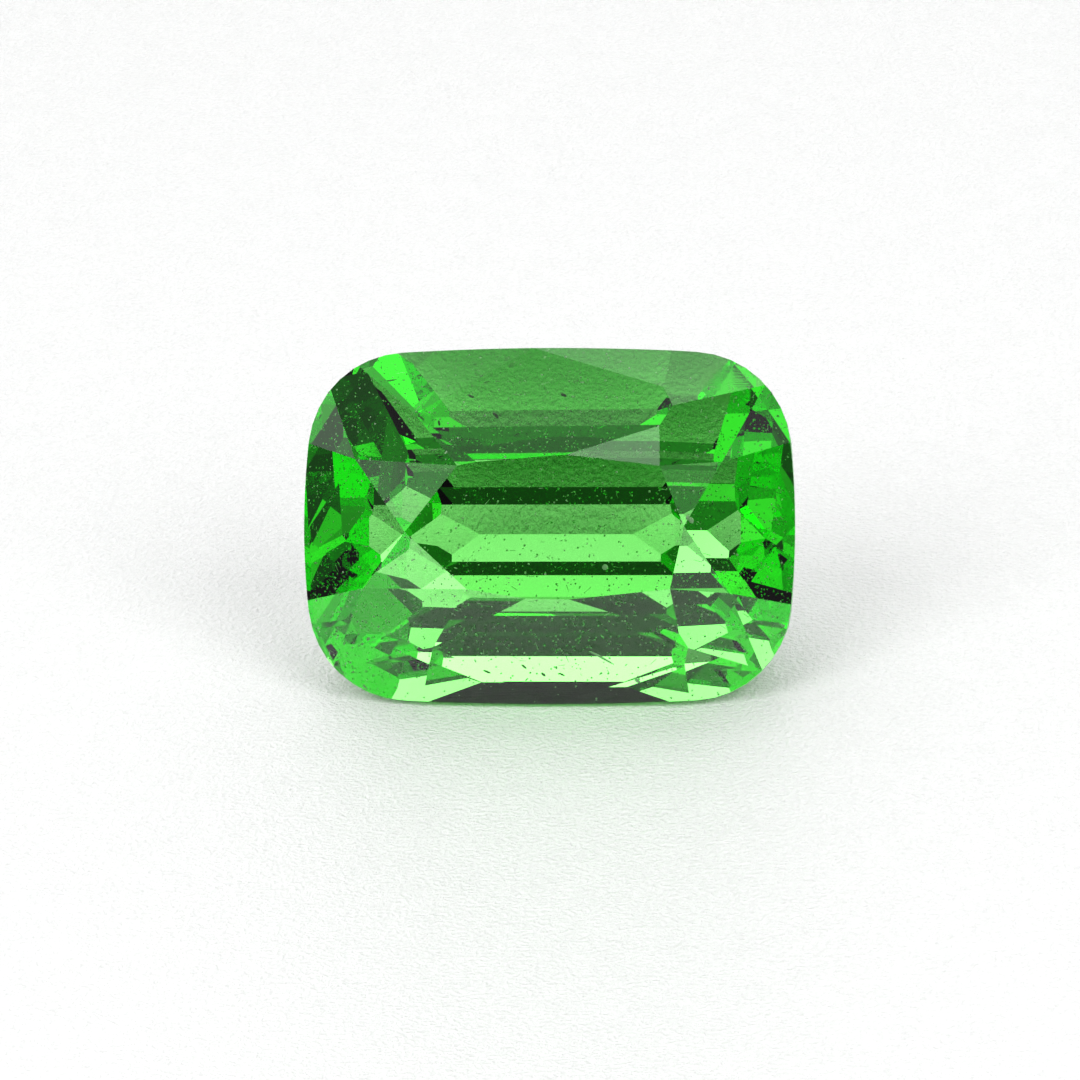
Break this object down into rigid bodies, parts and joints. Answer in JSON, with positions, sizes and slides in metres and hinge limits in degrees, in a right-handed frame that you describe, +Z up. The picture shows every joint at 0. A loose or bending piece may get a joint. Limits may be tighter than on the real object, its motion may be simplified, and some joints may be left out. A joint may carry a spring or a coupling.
{
  "type": "cushion cut tsavorite garnet",
  "caption": "Faceted cushion cut green garnet gemstone, lying on a lower facet with its table turned to the viewer.",
  "frame": {"origin": "centre of the bounding box's base, on the surface that the stone lies on", "axes": "+X along the stone's length, +Z up, the table faces -Y and slightly up"},
  "size_m": [0.0082, 0.0052, 0.0054],
  "materials": {
    "tsavorite": "polished clear green garnet"
  },
  "bodies": {
    "root": {"cushion_stone": "tsavorite"}
  },
  "joints": []
}
